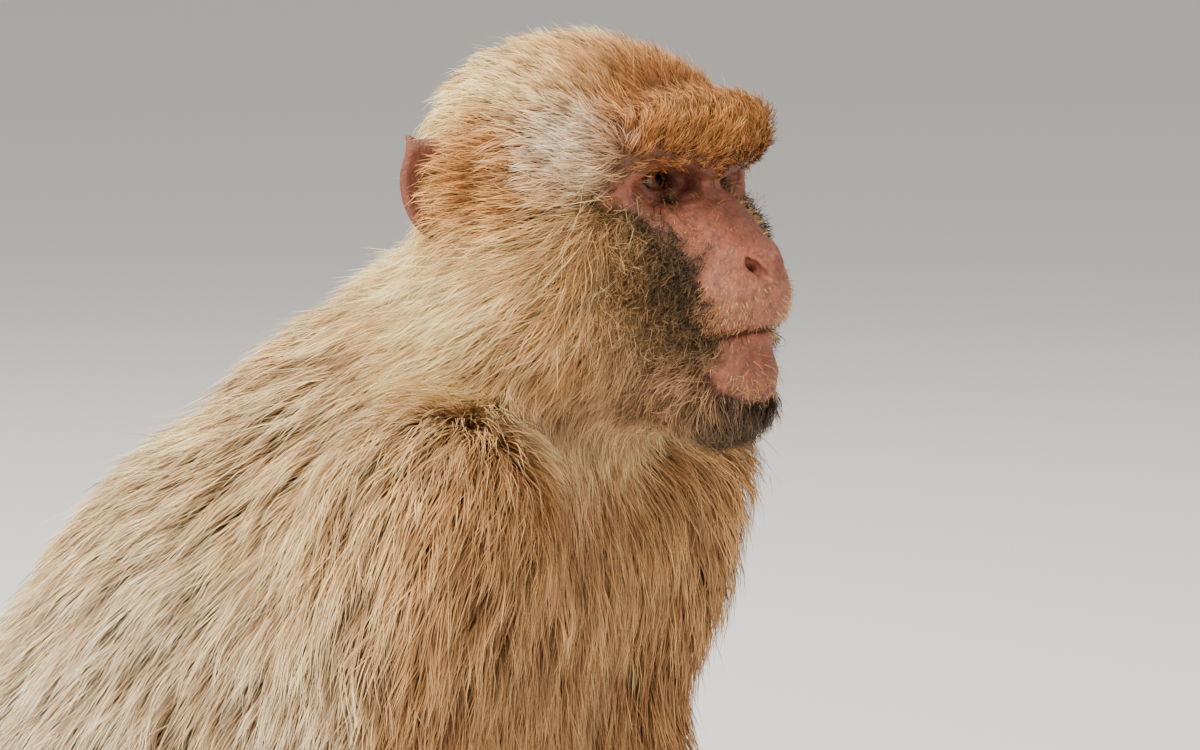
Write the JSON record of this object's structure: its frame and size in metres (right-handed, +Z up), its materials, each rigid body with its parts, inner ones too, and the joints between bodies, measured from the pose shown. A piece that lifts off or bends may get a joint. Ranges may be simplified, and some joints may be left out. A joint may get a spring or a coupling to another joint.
{
  "type": "macaque figure",
  "caption": "Life-size still model of a thick-coated, tailless macaque sitting with hands and feet on the floor and its head turned a little.",
  "frame": {"origin": "on the floor, under the middle of the whole figure", "axes": "+Z up, the animal's body faces -Y, its left side is at +X"},
  "size_m": [0.4616, 0.4658, 0.522],
  "materials": {
    "head_coat": "dense coat, rust to cream, round a bare pink face",
    "chin": "bare skin with a short dark beard",
    "neck_coat": "long pale coat",
    "trunk_coat": "long grizzled coat",
    "limb_coat": "long ochre and grey coat",
    "ear_skin": "matt skin",
    "paw_skin": "matt wrinkled skin",
    "eye": "wet gloss"
  },
  "bodies": {
    "root": {"head": "head_coat", "lower_jaw": "chin", "neck": "neck_coat", "trunk": "trunk_coat", "ear_left": "ear_skin", "ear_right": "ear_skin", "eye_left": "eye", "eye_right": "eye", "upper_arm_left": "limb_coat", "upper_arm_right": "limb_coat", "forearm_left": "limb_coat", "forearm_right": "limb_coat", "hand_left": "paw_skin", "hand_right": "paw_skin", "thigh_left": "limb_coat", "thigh_right": "limb_coat", "shank_left": "limb_coat", "shank_right": "limb_coat", "foot_left": "paw_skin", "foot_right": "paw_skin"}
  },
  "joints": []
}
